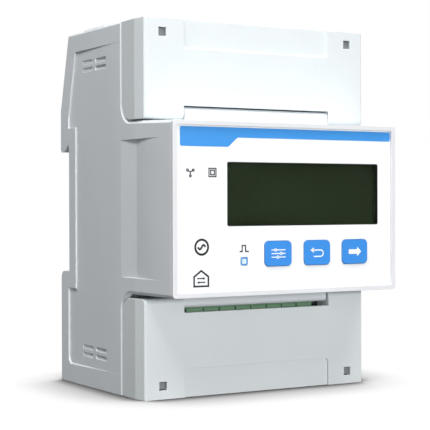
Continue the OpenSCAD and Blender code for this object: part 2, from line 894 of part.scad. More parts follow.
// Terminal block drawn for the upper end
module terminal_block() {
    difference() {
        union() {
            block([-block_hx, block_y, nose_z1 + 0.2], [block_hx, y_pocket - 0.15, body_h - wall - 0.2]);
            block([-entry_face_hx, block_y, body_h - wall - 1], [entry_face_hx, entry_face_y, body_h - 0.2]);
            // posts that take the seals through the cover
            for (sx = [-1, 1]) {
                block([sx * seal_x - 0.9, y_cover + 0.8, seal_z - 0.9],
                    [sx * seal_x + 0.9, block_y + 1, seal_z + 0.9]);
            }
            // walls between the poles
            for (x = [-pole_pitch, 0, pole_pitch]) {
                block([x - 0.7, block_y - 2.4, 83.2], [x + 0.7, block_y + 1, 93.5]);
            }
        }
        for (x = poles) {
            block([x - cage_hx - 0.2, cage_y0 - 0.3, cage_z0 - 0.3],
                [x + cage_hx + 0.2, y_pocket, cage_z1 + 0.3]);
            translate([x, pole_y, cage_z1]) cylinder(r = entry_r, h = body_h);
            rod_y(x, pole_z, 3.4, block_y - 1, cage_y0);
            block([x - bar_hx - 0.35, bar_y0 - 0.3, nose_z1 - 1], [x + bar_hx + 0.35, bar_y1 + 0.3, cage_z0]);
        }
        // notch for the cover's snap tongue
        block([-6, block_y - 1, body_h - 4], [6, block_y + 2, body_h + 1]);
    }
}

module upper_terminal_block() {
    color([0.30, 0.31, 0.33]) terminal_block();
}

module lower_terminal_block() {
    color([0.30, 0.31, 0.33]) lower_end() terminal_block();
}

// Clamp cages drawn for the upper end
module clamp_cages() {
    for (x = poles) {
        difference() {
            block([x - cage_hx, cage_y0, cage_z0], [x + cage_hx, cage_y1, cage_z1]);
            block([x - cage_hx + cage_t, cage_y0 + cage_t, cage_z0 - 1],
                [x + cage_hx - cage_t, cage_y1 - cage_t, cage_z1 + 1]);
            rod_y(x, pole_z, 2.05, cage_y0 - 1, cage_y0 + cage_t + 1);
        }
    }
}

module upper_clamp_cages() {
    color([0.80, 0.68, 0.38]) clamp_cages();
}

module lower_clamp_cages() {
    color([0.80, 0.68, 0.38]) lower_end() clamp_cages();
}

// Clamp screws drawn for the upper end, with crossed slots in their heads
module terminal_screws() {
    for (x = poles) {
        difference() {
            union() {
                rod_y(x, pole_z, 2.9, -3.8, -0.95);
                rod_y(x, pole_z, 1.95, -1, 3);
            }
            block([x - 2.3, -4.2, pole_z - 0.45], [x + 2.3, -2.4, pole_z + 0.45]);
            block([x - 0.45, -4.2, pole_z - 2.3], [x + 0.45, -2.4, pole_z + 2.3]);
        }
    }
}

module upper_terminal_screws() {
    color([0.76, 0.77, 0.78]) terminal_screws();
}

module lower_terminal_screws() {
    color([0.76, 0.77, 0.78]) lower_end() terminal_screws();
}

module aux_terminal_header() {
    color([0.18, 0.55, 0.27]) difference() {
        block([-21.2, aux_y0, aux_z1 + 0.05], [21.2, aux_y1, aux_header_z1]);
        for (i = [0 : aux_count - 1]) {
            block([aux_x(i) - 0.45, aux_pin_y - 0.45, aux_z1 - 1], [aux_x(i) + 0.45, aux_pin_y + 0.45, 30]);
        }
    }
}

module aux_terminal_plug() {
    color([0.20, 0.60, 0.30]) difference() {
        block([-20.5, aux_y0 - 0.1, aux_z0], [20.5, aux_y1, aux_z1]);
        for (i = [0 : aux_count - 1]) {
            rod_y(aux_x(i), 20.4, 1.6, aux_y0 - 1, aux_y0 + 3);
            translate([aux_x(i), -9.6, aux_z0 - 1]) cylinder(r = 1.5, h = 3.6);
        }
        for (i = [0 : aux_count - 2]) {
            x = aux_x(i) + aux_pitch / 2;
            block([x - 0.2, aux_y0 - 1, aux_z0 - 1], [x + 0.2, aux_y0 + 0.7, aux_z1 + 1]);
        }
    }
}

module aux_terminal_screws() {
    color([0.78, 0.79, 0.80]) for (i = [0 : aux_count - 1]) {
        difference() {
            rod_y(aux_x(i), 20.4, 1.45, aux_y0 + 0.6, aux_y0 + 2.9);
            block([aux_x(i) - 2, aux_y0, 20.2], [aux_x(i) + 2, aux_y0 + 1.2, 20.6]);
        }
    }
}

module aux_pins() {
    color([0.86, 0.72, 0.35]) for (i = [0 : aux_count - 1]) {
        block([aux_x(i) - 0.4, aux_pin_y - 0.4, aux_z1 + 0.1], [aux_x(i) + 0.4, aux_pin_y + 0.4, 33]);
    }
}

// Side outline of a closed cover in (Y, Z), drawn for the upper end; inset is the wall
module cover_outline(inset) {
    rear = y_split - cover_play;
    rear_r = corner_r - cover_play - inset;
    difference() {
        translate([y_cover + inset, ear_z + inset])
            square([rear - y_cover + (inset > 0 ? 5 : 0), body_h - ear_z - 2 * inset]);
        corner_cut(y_cover + inset, ear_z + inset, -1, -1, max(0.2, ear_nose_r - inset));
        if (inset == 0) {
            corner_cut(rear, ear_z, 1, -1, rear_r);
        } else {
            difference() {
                translate([rear - rear_r - inset, ear_z - 1]) square([10, rear_r + inset + 1]);
                translate([rear - rear_r - inset, ear_z + rear_r + inset]) circle(rear_r);
            }
        }
    }
}

// Plan of the covers, leaning in towards their front
module cover_plan() {
    front_hw = hw - cover_taper;
    rear_hw = hw - cover_inset;
    soft = 0.4;
    polygon([[-rear_hw, y_split], [rear_hw, y_split], [hw, y_taper], [front_hw, y_cover + soft],
        [front_hw - soft, y_cover], [-front_hw + soft, y_cover], [-front_hw, y_cover + soft],
        [-hw, y_taper]]);
}

// Terminal cover drawn for the upper end, with its hinge pins
module terminal_cover(axis_y, axis_z, pin_r, notch_z) {
    ear_x = barrel_hw + 0.25;
    difference() {
        union() {
            difference() {
                intersection() {
                    along_x(-hw, hw) cover_outline(0);
                    linear_extrude(body_h) cover_plan();
                }
                along_x(-hw + cover_t, hw - cover_t) cover_outline(cover_t);
                // gap between the ears for the hinge barrel
                block([-ear_x, y_cover - 1, ear_z - 1], [ear_x, y_split + 1, notch_z]);
                block([-ear_x, y_cover + 2 * cover_t, ear_z - 1],
                    [ear_x, y_split + 1, ear_z + corner_r + 1]);
            }
            // inner end wall of each ear
            both_sides() intersection() {
                along_x(ear_x, ear_x + ear_wall) cover_outline(0);
                block([0, y_cover, ear_z], [hw, y_cover + 5.6, notch_z + 3]);
            }
            both_sides() rod_x(axis_y, axis_z, pin_r, ear_x - pin_len, ear_x + slack);
            // snap tongue behind the outer wall
            block([-5, y_cover + 4, body_h - cover_t - 1.2], [5, block_y + 1.6, body_h - cover_t + slack]);
        }
        both_sides() block([seal_x - seal_hole / 2, y_cover - 1, seal_z - seal_hole / 2],
            [seal_x + seal_hole / 2, y_cover + cover_t + 1, seal_z + seal_hole / 2]);
        // knock-out panel for wires
        along_y(y_cover - 1, y_cover + knock_out_d) difference() {
            translate([-knock_out_hx, knock_out_z]) square([2 * knock_out_hx, body_h]);
            for (sx = [-1, 1]) {
                corner_cut(sx * knock_out_hx, knock_out_z, sx, -1, 1.2);
            }
        }
    }
}

module upper_terminal_cover() {
    color([0.90, 0.91, 0.91]) terminal_cover(upper_axis_y, upper_axis_z, upper_pin_r, upper_notch_z);
}

module lower_terminal_cover() {
    color([0.86, 0.88, 0.88]) lower_end()
        terminal_cover(lower_axis_y, lower_axis_z, lower_pin_r, lower_notch_z);
}

module rail_latch() {
    color([0.22, 0.23, 0.25]) difference() {
        union() {
            block([-latch_hx, latch_y0, 1.2], [latch_hx, latch_y1, latch_top]);
            block([-latch_hx + 2.3, latch_y1 - slack, 1.2], [latch_hx - 2.3, latch_y1 + 1, 7.5]);
        }
        // lead-in that rides over the rail's lower flange
        along_x(-hw, hw) polygon([[latch_y0 + 0.9, latch_top + slack], [latch_y1 + 1, latch_top + slack],
            [latch_y1 + 1, latch_top - 2.4]]);
        // window of the spring
        block([-latch_window_hx, latch_y0 - 1, spring_z0 - latch_travel],
            [latch_window_hx, y_rear, spring_z1]);
        // slot for a screwdriver
        block([-3, latch_y0 + 0.8, 2.6], [3, y_rear, 4.2]);
    }
}

// Points of the spring's wire: rings of a swept circle along a helix
function spring_ring(k) =
    let (a = 360 * k / spring_steps, n = spring_turns * spring_steps,
        z = spring_z0 + wire_r + 0.05 + (spring_z1 - spring_z0 - 2 * wire_r - 0.1) * k / n)
    [for (j = [0 : spring_sides - 1])
        let (b = 360 * j / spring_sides, r = spring_r + wire_r * cos(b))
        [r * cos(a), (latch_y0 + latch_y1) / 2 + r * sin(a), z + wire_r * sin(b)]];

module latch_spring() {
    rings = spring_turns * spring_steps;
    points = [for (k = [0 : rings]) each spring_ring(k)];
    sides = [for (k = [0 : rings - 1], j = [0 : spring_sides - 1])
        let (a = k * spring_sides + j, b = k * spring_sides + (j + 1) % spring_sides)
        each [[a, b, b + spring_sides], [a, b + spring_sides, a + spring_sides]]];
    first = [for (j = [1 : spring_sides - 2]) [0, j + 1, j]];
    last = [for (j = [1 : spring_sides - 2])
        [rings * spring_sides, rings * spring_sides + j, rings * spring_sides + j + 1]];
    color([0.70, 0.71, 0.73]) polyhedron(points, concat(sides, first, last));
}

module case_screws() {
    color([0.70, 0.71, 0.73]) for (sx = [-1, 1], sz = [-1, 1]) {
        x = sx * screw_x;
        z = z_mid + sz * screw_z;
        difference() {
            union() {
                rod_y(x, z, 2.6, screw_seat_y, screw_seat_y + 2);
                rod_y(x, z, 1.25, y_pocket + 1.4, screw_seat_y + slack);
            }
            block([x - 1.7, screw_seat_y + 1, z - 0.35], [x + 1.7, screw_seat_y + 3, z + 0.35]);
            block([x - 0.35, screw_seat_y + 1, z - 1.7], [x + 0.35, screw_seat_y + 3, z + 1.7]);
        }
    }
}

rear_base();
front_housing();
front_bezel();
face_overlay();
lcd_window();
lcd_panel();
lcd_backlight();
lcd_frame();
zebra_strips();
display_board();
tact_switches();
set_button();
escape_button();
next_button();
set_plunger();
escape_plunger();
next_plunger();
pulse_light_pipe();
pulse_led();
display_screws();
header_pins();
header_socket();
metering_board();
power_transformer();
filter_capacitors();
surge_varistors();
backup_battery();
metering_chip();
processor_chip();
optocouplers();
current_transformers();
transformer_holder();
transformer_leads();
voltage_taps();
phase_busbars();
neutral_busbar();
upper_terminal_block();
lower_terminal_block();
upper_clamp_cages();
lower_clamp_cages();
upper_terminal_screws();
lower_terminal_screws();
aux_terminal_header();
aux_terminal_plug();
aux_terminal_screws();
aux_pins();
upper_terminal_cover();
lower_terminal_cover();
rail_latch();
latch_spring();
case_screws();
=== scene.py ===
"""Looks of the rail-mounted three-phase meter: finishes, print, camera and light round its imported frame."""

import json
import math

import bmesh
import bpy
from mathutils import Matrix, Vector


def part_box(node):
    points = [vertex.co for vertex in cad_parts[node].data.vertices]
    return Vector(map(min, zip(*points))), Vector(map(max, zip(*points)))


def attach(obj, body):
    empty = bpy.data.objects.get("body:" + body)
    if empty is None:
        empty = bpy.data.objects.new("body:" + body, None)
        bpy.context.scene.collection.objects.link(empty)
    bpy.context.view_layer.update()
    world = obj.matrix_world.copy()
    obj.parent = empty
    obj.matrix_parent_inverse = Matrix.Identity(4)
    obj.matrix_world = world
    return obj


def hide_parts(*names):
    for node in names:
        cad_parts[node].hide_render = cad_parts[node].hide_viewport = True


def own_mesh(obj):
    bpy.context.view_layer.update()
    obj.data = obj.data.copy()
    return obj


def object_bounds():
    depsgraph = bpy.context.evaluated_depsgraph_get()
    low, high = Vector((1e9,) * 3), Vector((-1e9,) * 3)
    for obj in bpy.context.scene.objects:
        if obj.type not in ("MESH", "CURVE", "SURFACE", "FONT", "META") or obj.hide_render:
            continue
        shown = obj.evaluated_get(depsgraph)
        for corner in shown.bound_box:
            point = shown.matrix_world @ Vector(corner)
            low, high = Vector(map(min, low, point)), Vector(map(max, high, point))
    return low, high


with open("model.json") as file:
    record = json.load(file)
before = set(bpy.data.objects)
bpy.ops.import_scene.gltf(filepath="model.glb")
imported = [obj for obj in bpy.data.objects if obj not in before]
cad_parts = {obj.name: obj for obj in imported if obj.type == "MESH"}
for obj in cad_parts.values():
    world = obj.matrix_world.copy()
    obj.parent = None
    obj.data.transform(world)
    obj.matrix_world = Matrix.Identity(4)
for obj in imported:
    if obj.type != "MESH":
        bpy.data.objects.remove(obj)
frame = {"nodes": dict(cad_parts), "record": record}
cad_low, cad_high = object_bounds()
nodes = frame["nodes"]

MM = 0.001

EDGE_ROUNDING = 0.18 * MM
EDGE_SAMPLES = 6
SKY_SAMPLES = 12

# Floor: how it glows to the camera, what little it bounces on to the meter, and how far its painted shadows
# reach
FLOOR_RADIUS = 6
FLOOR_GAP = 0.02 * MM
FLOOR_BOUNCE = (0.12, 0.15)
SHADOW_REACH = 27 * MM
CONTACT_SHADOW_REACH = 9 * MM

WORLD_FILL = 0.14

# Name, place, side of the square or rectangle, and power in watts
LIGHTS = (
    ("left_key", (-0.5, -0.86, 0.26), (0.35, 0.35), 1.2),
    ("front_key", (-0.1, -0.98, 0.06), (0.25, 0.25), 7.3),
    ("overhead", (0.1, -0.42, 0.86), (0.45, 0.4), 3.9),
    ("upper_left", (-0.3, -0.13, 0.62), (0.2, 0.2), 3.3),
    ("rear_fill", (0.62, 0.62, 0.45), (0.5, 0.5), 4.5),
)

# Camera: place in millimetres and angles in degrees, in the row frame
CAMERA_PLACE = (-196.05, -317.29, 51.41)
CAMERA_TURN, CAMERA_DIP, CAMERA_ROLL = -30.53, 0.34, -0.15
SENSOR_WIDTH = 36
FOCAL_LENGTH = 109.4
LENS_SHIFT = (0.0406, -0.0089)


# ---------------------------------------------------------------- node trees

class Tree:
    """A material's node tree, with short calls for what the finishes share."""

    def __init__(self, name):
        self.material = bpy.data.materials.new(name)
        self.material.use_nodes = True
        self.nodes = self.material.node_tree.nodes
        self.links = self.material.node_tree.links
        self.shader = self.nodes["Principled BSDF"]
        self.place = self.nodes.new("ShaderNodeTexCoord").outputs["Object"]

    def constant(self, socket, value):
        self.shader.inputs[socket].default_value = value

    def drive(self, socket, source):
        self.links.new(source, self.shader.inputs[socket])

    def scaled(self, scale):
        """The object's coordinates, scaled differently along each axis."""
        node = self.nodes.new("ShaderNodeMapping")
        self.links.new(self.place, node.inputs["Vector"])
        node.inputs["Scale"].default_value = scale
        return node.outputs["Vector"]

    def noise(self, scale, detail=2.0, place=None):
        node = self.nodes.new("ShaderNodeTexNoise")
        self.links.new(place or self.place, node.inputs["Vector"])
        node.inputs["Scale"].default_value = scale
        node.inputs["Detail"].default_value = detail
        return node.outputs["Fac"]

    def cells(self, scale, feature="F1", place=None):
        node = self.nodes.new("ShaderNodeTexVoronoi")
        node.feature = feature
        self.links.new(place or self.place, node.inputs["Vector"])
        node.inputs["Scale"].default_value = scale
        return node.outputs["Distance"]

    def span(self, value, low, high, out_low=0.0, out_high=1.0):
        node = self.nodes.new("ShaderNodeMapRange")
        self.links.new(value, node.inputs["Value"])
        limits = {"From Min": low, "From Max": high, "To Min": out_low, "To Max": out_high}
        for key, number in limits.items():
            node.inputs[key].default_value = number
        return node.outputs["Result"]

    def math(self, kind, first, second=0.0):
        node = self.nodes.new("ShaderNodeMath")
        node.operation = kind
        for socket, value in zip(node.inputs, (first, second)):
            if isinstance(value, (int, float)):
                socket.default_value = value
            else:
                self.links.new(value, socket)
        return node.outputs["Value"]

    def mix(self, factor, first, second):
        node = self.nodes.new("ShaderNodeMix")
        node.data_type = "RGBA"
        self.links.new(factor, node.inputs["Factor"])
        colours = [s for s in node.inputs if s.type == "RGBA"]
        for socket, value in zip(colours, (first, second)):
            if isinstance(value, tuple):
                socket.default_value = (*value, 1.0)
            else:
                self.links.new(value, socket)
        return next(s for s in node.outputs if s.type == "RGBA")

    def bump(self, height, distance, under=None):
        node = self.nodes.new("ShaderNodeBump")
        node.inputs["Distance"].default_value = distance
        self.links.new(height, node.inputs["Height"])
        if under is not None:
            self.links.new(under, node.inputs["Normal"])
        return node.outputs["Normal"]

    def openness(self, distance):
        """Share of the sky above a point that is free of anything within the distance."""
        node = self.nodes.new("ShaderNodeAmbientOcclusion")
        node.samples = SKY_SAMPLES
        node.inputs["Distance"].default_value = distance
        return node.outputs["AO"]

    def rounded(self, radius):
        """Normal of the surface with its edges rounded, and a mask that is 1 on those edges."""
        soft = self.nodes.new("ShaderNodeBevel")
        soft.samples = EDGE_SAMPLES
        soft.inputs["Radius"].default_value = radius
        true = self.nodes.new("ShaderNodeNewGeometry").outputs["Normal"]
        node = self.nodes.new("ShaderNodeVectorMath")
        node.operation = "DOT_PRODUCT"
        self.links.new(soft.outputs["Normal"], node.inputs[0])
        self.links.new(true, node.inputs[1])
        return soft.outputs["Normal"], self.span(node.outputs["Value"], 0.995, 0.85)


def display(red, green, blue):
    """A colour given in 0-255 display values, in linear light."""
    def channel(value):
        share = value / 255
        return share / 12.92 if share <= 0.04045 else ((share + 0.055) / 1.055) ** 2.4
    return (channel(red), channel(green), channel(blue))


def toned(colour, factor):
    return tuple(min(1.0, c * factor) for c in colour)


# ---------------------------------------------------------------- finishes

def moulded(name, colour, roughness=0.46, grain=0.012, coat=0.0):
    """Injection-moulded plastic: clouded tone, spark-eroded grain, and edges that are polished and lightened
    with a painted highlight.
    """
    tree = Tree(name)
    cloud = tree.span(tree.noise(38, 3), 0.3, 0.7)
    speck = tree.span(tree.noise(2600, 1), 0.35, 0.65)
    toning = tree.mix(cloud, toned(colour, 0.965), toned(colour, 1.025))
    toning = tree.mix(tree.math("MULTIPLY", speck, 0.35), toning, toned(colour, 0.94))
    normal, polish_and_painted_highlight = tree.rounded(EDGE_ROUNDING)
    # Painted highlight: rounded edges are lightened towards white, as if they caught the light.
    toning = tree.mix(tree.math("MULTIPLY", polish_and_painted_highlight, 0.8), toning, toned(colour, 1.35))
    tree.drive("Base Color", toning)
    rough = tree.span(tree.noise(260, 4), 0.3, 0.7, roughness - 0.05, roughness + 0.06)
    tree.drive("Roughness", tree.math("SUBTRACT", rough, tree.math("MULTIPLY", polish_and_painted_highlight, 0.08)))
    waves = tree.bump(tree.noise(55, 1), 0.05 * MM, normal)
    tree.drive("Normal", tree.bump(tree.noise(2100, 3), grain * MM, waves))
    tree.constant("IOR", 1.5)
    tree.constant("Coat Weight", coat)
    tree.constant("Coat Roughness", 0.2)
    return tree.material


def film(name, colour, roughness):
    """Printed polyester film or ink: fine orange peel and a faint pigment texture."""
    tree = Tree(name)
    speck = tree.span(tree.noise(1500, 2), 0.3, 0.7)
    tree.drive("Base Color", tree.mix(speck, toned(colour, 0.985), toned(colour, 1.02)))
    tree.drive("Roughness", tree.span(tree.noise(420, 3), 0.3, 0.7, roughness - 0.04, roughness + 0.05))
    tree.drive("Normal", tree.bump(tree.noise(900, 2), 0.006 * MM))
    return tree.material


def metal(name, colour, roughness, brushed=(1, 1, 1), tarnish=None):
    """Plated or bare metal: brush marks, stains and uneven polish."""
    tree = Tree(name)
    tree.constant("Metallic", 1.0)
    marks = tree.noise(2400, 3, tree.scaled(brushed))
    stain = tree.span(tree.noise(420, 4), 0.45, 0.75)
    toning = tree.mix(tree.span(marks, 0.3, 0.7), toned(colour, 0.86), colour)
    stained = tree.math("MULTIPLY", stain, 0.6)
    tree.drive("Base Color", tree.mix(stained, toning, tarnish or toned(colour, 0.62)))
    rough = tree.span(marks, 0.25, 0.75, roughness - 0.07, roughness + 0.1)
    tree.drive("Roughness", tree.math("ADD", rough, tree.math("MULTIPLY", stain, 0.12)))
    tree.drive("Normal", tree.bump(marks, 0.012 * MM))
    return tree.material


def circuit_board():
    """Green solder mask over copper tracks, with via dots and a weave under it."""
    tree = Tree("circuit_board")
    mask, track, pad = display(22, 92, 52), display(38, 128, 74), display(205, 200, 176)
    tracks = tree.cells(210, "DISTANCE_TO_EDGE", tree.scaled((1, 0.001, 0.45)))
    lines = tree.span(tracks, 0.05, 0.08, 1.0, 0.0)
    dots = tree.span(tree.cells(330, "F1", tree.scaled((1, 0.001, 1))), 0.1, 0.14, 1.0, 0.0)
    toning = tree.mix(lines, mask, track)
    tree.drive("Base Color", tree.mix(dots, toning, pad))
    weave = tree.noise(1800, 1, tree.scaled((1, 1, 3)))
    tree.drive("Normal", tree.bump(tree.math("ADD", lines, tree.math("MULTIPLY", weave, 0.3)), 0.03 * MM))
    tree.drive("Roughness", tree.span(tree.noise(600, 3), 0.3, 0.7, 0.24, 0.38))
    tree.constant("Coat Weight", 0.4)
    return tree.material


def clear(name, colour, roughness, ior=1.49):
    """Clear plastic or glass with faint flow lines."""
    tree = Tree(name)
    tree.constant("Base Color", (*colour, 1.0))
    tree.constant("Transmission Weight", 1.0)
    tree.constant("IOR", ior)
    tree.drive("Roughness", tree.span(tree.noise(700, 3), 0.3, 0.7, roughness * 0.6, roughness * 1.5))
    tree.drive("Normal", tree.bump(tree.noise(60, 2), 0.02 * MM))
    return tree.material


def liquid_crystal():
    """Unpowered display glass: dark olive polariser with a slow change of tone."""
    tree = Tree("liquid_crystal")
    base = display(122, 131, 114)
    cloud = tree.span(tree.noise(30, 2), 0.3, 0.7)
    tree.drive("Base Color", tree.mix(cloud, toned(base, 0.9), toned(base, 1.12)))
    tree.drive("Roughness", tree.span(tree.noise(1600, 2), 0.3, 0.7, 0.26, 0.36))
    tree.drive("Normal", tree.bump(tree.noise(1900, 2), 0.003 * MM))
    tree.constant("Specular IOR Level", 0.2)
    return tree.material


def wound(name, core, tape):
    """Ferrite or resin body with bands of tape and wire laid round it."""
    tree = Tree(name)
    turns = tree.noise(900, 2, tree.scaled((0.15, 0.15, 1)))
    band = tree.span(tree.noise(70, 0), 0.48, 0.52)
    tree.drive("Base Color", tree.mix(band, core, tape))
    tree.drive("Roughness", tree.span(turns, 0.3, 0.7, 0.4, 0.7))
    tree.drive("Normal", tree.bump(turns, 0.05 * MM))
    return tree.material


case_tone = display(221, 226, 230)
finishes = {
    "case_plastic": moulded("case_plastic", case_tone),
    "cover_plastic": moulded("cover_plastic", display(221, 227, 229)),
    "frame_plastic": moulded("frame_plastic", display(226, 228, 231), 0.38, 0.006),
    "face_film": film("face_film", display(246, 248, 250), 0.34),
    "window_plastic": clear("window_plastic", (0.34, 0.38, 0.32), 0.03, 1.12),
    "display_glass": liquid_crystal(),
    "diffuser_plastic": moulded("diffuser_plastic", display(236, 238, 226), 0.3, 0.004),
    "white_plastic": moulded("white_plastic", display(230, 231, 230)),
    "rubber_strip": moulded("rubber_strip", display(186, 150, 160), 0.7, 0.02),
    "board_laminate": circuit_board(),
    "black_plastic": moulded("black_plastic", display(38, 38, 41), 0.5, 0.015),
    "button_plastic": moulded("button_plastic", display(60, 145, 229), 0.36, 0.008, 0.15),
    "clear_plastic": moulded("clear_plastic", display(222, 240, 246), 0.22, 0.004, 0.3),
    "lamp_resin": moulded("lamp_resin", display(246, 238, 196), 0.25, 0.003),
    "screw_steel": metal("screw_steel", display(196, 198, 202), 0.34, (1, 0.2, 1)),
    "spring_steel": metal("spring_steel", display(186, 188, 192), 0.26, (0.2, 0.2, 1)),
    "gold_pin": metal("gold_pin", display(232, 196, 104), 0.24),
    "ferrite_core": wound("ferrite_core", display(46, 44, 44), display(214, 176, 62)),
    "capacitor_can": moulded("capacitor_can", display(32, 36, 52), 0.3, 0.004, 0.3),
    "varistor_resin": moulded("varistor_resin", display(30, 96, 168), 0.28, 0.02, 0.4),
    "battery_can": metal("battery_can", display(206, 206, 204), 0.22, (1, 0.1, 1)),
    "opto_resin": moulded("opto_resin", display(232, 230, 222), 0.5),
    "coil_resin": wound("coil_resin", display(34, 58, 118), display(40, 68, 134)),
    "lead_insulation": moulded("lead_insulation", display(186, 36, 28), 0.4, 0.004),
    "clamp_brass": metal("clamp_brass", display(214, 190, 118), 0.3, (1, 1, 0.2)),
    "bar_copper": metal("bar_copper", display(206, 128, 84), 0.3, (1, 1, 0.1), display(120, 66, 44)),
    "block_plastic": moulded("block_plastic", display(132, 135, 139), 0.52, 0.014),
    "green_plastic": moulded("green_plastic", display(112, 150, 118), 0.4, 0.01),
    "latch_plastic": moulded("latch_plastic", display(58, 60, 64), 0.48, 0.014),
    "blue_print": film("blue_print", display(68, 153, 230), 0.34),
    "black_print": film("black_print", display(20, 20, 23), 0.42),
    "white_print": film("white_print", display(246, 249, 252), 0.4),
}


def finish_frame():
    """Gives every CAD node its finish."""
    for part in frame["record"]["subparts"]:
        piece = nodes[part["node"]]
        piece.data.materials.clear()
        piece.data.materials.append(finishes[part["material_slot"]])


def shorten_spring():
    """A copy stands for the latch's spring and rides on the meter's body; the original is hidden."""
    coil = bpy.data.objects.new("latch_coil", nodes["latch_spring"].data.copy())
    bpy.context.scene.collection.objects.link(coil)
    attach(coil, "meter_body")
    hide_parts("latch_spring")
    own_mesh(coil)


# ---------------------------------------------------------------- flat print

def fillet(corners, radius, steps=5):
    """The outline with each corner rounded by an arc, going round corners in order."""
    outline = []
    for i, corner in enumerate(corners):
        here = Vector(corner)
        back = (Vector(corners[i - 1]) - here).normalized()
        ahead = (Vector(corners[(i + 1) % len(corners)]) - here).normalized()
        half = back.angle(ahead) / 2
        start = here + back * (radius / math.tan(half))
        end = here + ahead * (radius / math.tan(half))
        centre = here + (back + ahead).normalized() * (radius / math.sin(half))
        first, last = (start - centre).normalized(), (end - centre).normalized()
        for step in range(steps + 1):
            outline.append(centre + first.slerp(last, step / steps) * radius)
    return outline


def rectangle(x, z, width, height):
    return [(x - width / 2, z - height / 2), (x + width / 2, z - height / 2),
            (x + width / 2, z + height / 2), (x - width / 2, z + height / 2)]


def circle(x, z, radius, steps=32):
    turns = [2 * math.pi * i / steps for i in range(steps)]
    return [(x + radius * math.cos(a), z + radius * math.sin(a)) for a in turns]


def ring_of(shape, outline, y):
    return [shape.verts.new((p[0] * MM, y * MM, p[1] * MM)) for p in outline]


def plate(shape, outline, front, back):
    """Closed flat solid of one outline in (X, Z), between two planes across Y."""
    near, far = ring_of(shape, outline, front), ring_of(shape, outline, back)
    shape.faces.new(near)
    shape.faces.new(far[::-1])
    for i in range(len(near)):
        shape.faces.new((near[i - 1], near[i], far[i], far[i - 1]))


def frame_plate(shape, outer, inner, front, back):
    """Closed flat solid between two outlines with the same number of points."""
    rings = [ring_of(shape, outline, y) for outline, y in
             ((outer, front), (inner, front), (inner, back), (outer, back))]
    for i in range(len(outer)):
        for ring, following in zip(rings, rings[1:] + rings[:1]):
            shape.faces.new((ring[i - 1], ring[i], following[i], following[i - 1]))


def stroke(shape, points, width, front, back, closed=False):
    """Flat line of an even width along points, with mitred corners."""
    points = [Vector(p) for p in points]
    left, right = [], []
    for i, here in enumerate(points):
        before = points[i - 1] if closed or i > 0 else None
        after = points[(i + 1) % len(points)] if closed or i + 1 < len(points) else None
        legs = ((before, here), (here, after))
        ways = [(b - a).normalized() for a, b in legs if a is not None and b is not None]
        way = sum(ways, Vector((0, 0))).normalized()
        side = Vector((-way.y, way.x)) * (width / 2 / max(0.3, way.dot(ways[0])))
        left.append(here + side)
        right.append(here - side)
    if closed:
        frame_plate(shape, left, right, front, back)
    else:
        plate(shape, left + right[::-1], front, back)


def solid(name, build, body, slot):
    """A piece of its own, built by a function and riding on a body."""
    shape = bmesh.new()
    build(shape)
    bmesh.ops.recalc_face_normals(shape, faces=shape.faces)
    mesh = bpy.data.meshes.new(name)
    shape.to_mesh(mesh)
    shape.free()
    mesh.materials.append(finishes[slot])
    piece = bpy.data.objects.new(name, mesh)
    bpy.context.scene.collection.objects.link(piece)
    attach(piece, body)
    return piece


INK = 0.03
FILM_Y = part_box("face_overlay")[0].y / MM
INK_PLANES = (FILM_Y - INK, FILM_Y + INK / 2)
LAMP = [(a + b) / 2 / MM for a, b in zip(*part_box("pulse_light_pipe"))]


def blue_band(shape):
    """Band along the top of the face, deeper at its left end."""
    corners = [(34.05, 70.95), (-33.0, 70.95), (-33.0, 65.9),
               (-18.7, 65.9), (-15.85, 68.35), (34.05, 68.35)]
    plate(shape, fillet(corners, 0.55), *INK_PLANES)


def phase_star(shape):
    """Star of three windings with open ends."""
    x, z, reach, knob = -29.98, 59.35, 0.72, 0.26
    for angle in (150, 30, 270):
        way = Vector((math.cos(math.radians(angle)), math.sin(math.radians(angle))))
        stroke(shape, [Vector((x, z)), Vector((x, z)) + way * reach], 0.3, *INK_PLANES)
        centre = Vector((x, z)) + way * (reach + knob)
        frame_plate(shape, circle(*centre, knob + 0.15, 16), circle(*centre, knob - 0.15, 16), *INK_PLANES)


def double_square(shape):
    """Two squares one inside the other, the sign of double insulation."""
    for size in (2.1, 1.15):
        stroke(shape, rectangle(-23.45, 59.29, size, size), 0.3, *INK_PLANES, closed=True)


def pulse_sign(shape):
    x, z = LAMP[0], 38.95
    top = z + 1.55
    points = [(x - 1.4, z), (x - 0.62, z), (x - 0.62, top), (x + 0.42, top), (x + 0.42, z), (x + 1.4, z)]
    stroke(shape, points, 0.34, *INK_PLANES)


def wave_sign(shape):
    """Ring round a sine wave, a plain sign for alternating current."""
    x, z, radius = -26.7, 40.3, 1.9
    rings = [circle(x, z, radius + offset, 40) for offset in (0.28, -0.28)]
    frame_plate(shape, *rings, *INK_PLANES)
    wave = [(x + t / 12 * 1.1, z + 0.55 * math.sin(t / 12 * math.pi)) for t in range(-12, 13)]
    stroke(shape, wave, 0.5, *INK_PLANES)


def exchange_sign(shape):
    """House with an arrow each way, a plain sign for metering in both directions."""
    x, z = -26.85, 32.3
    house = [(x - 2.1, z - 1.95), (x + 2.1, z - 1.95), (x + 2.1, z + 0.5),
             (x, z + 2.0), (x - 2.1, z + 0.5)]
    stroke(shape, house, 0.45, *INK_PLANES, closed=True)
    for way, height in ((1, 0.05), (-1, -0.95)):
        tail, tip = Vector((x - way * 1.2, z + height)), Vector((x + way * 1.2, z + height))
        stroke(shape, [tail, tip - Vector((way * 0.5, 0))], 0.3, *INK_PLANES)
        barb = Vector((way * 0.6, 0))
        plate(shape, [tip, tip - barb + Vector((0, 0.36)), tip - barb - Vector((0, 0.36))], *INK_PLANES)


def lamp_outline(shape):
    """Printed frame on the pulse light's window."""
    outer = fillet(rectangle(LAMP[0], LAMP[2], 1.96, 1.96), 0.38)
    inner = fillet(rectangle(LAMP[0], LAMP[2], 1.3, 1.3), 0.2)
    frame_plate(shape, outer, inner, *INK_PLANES)


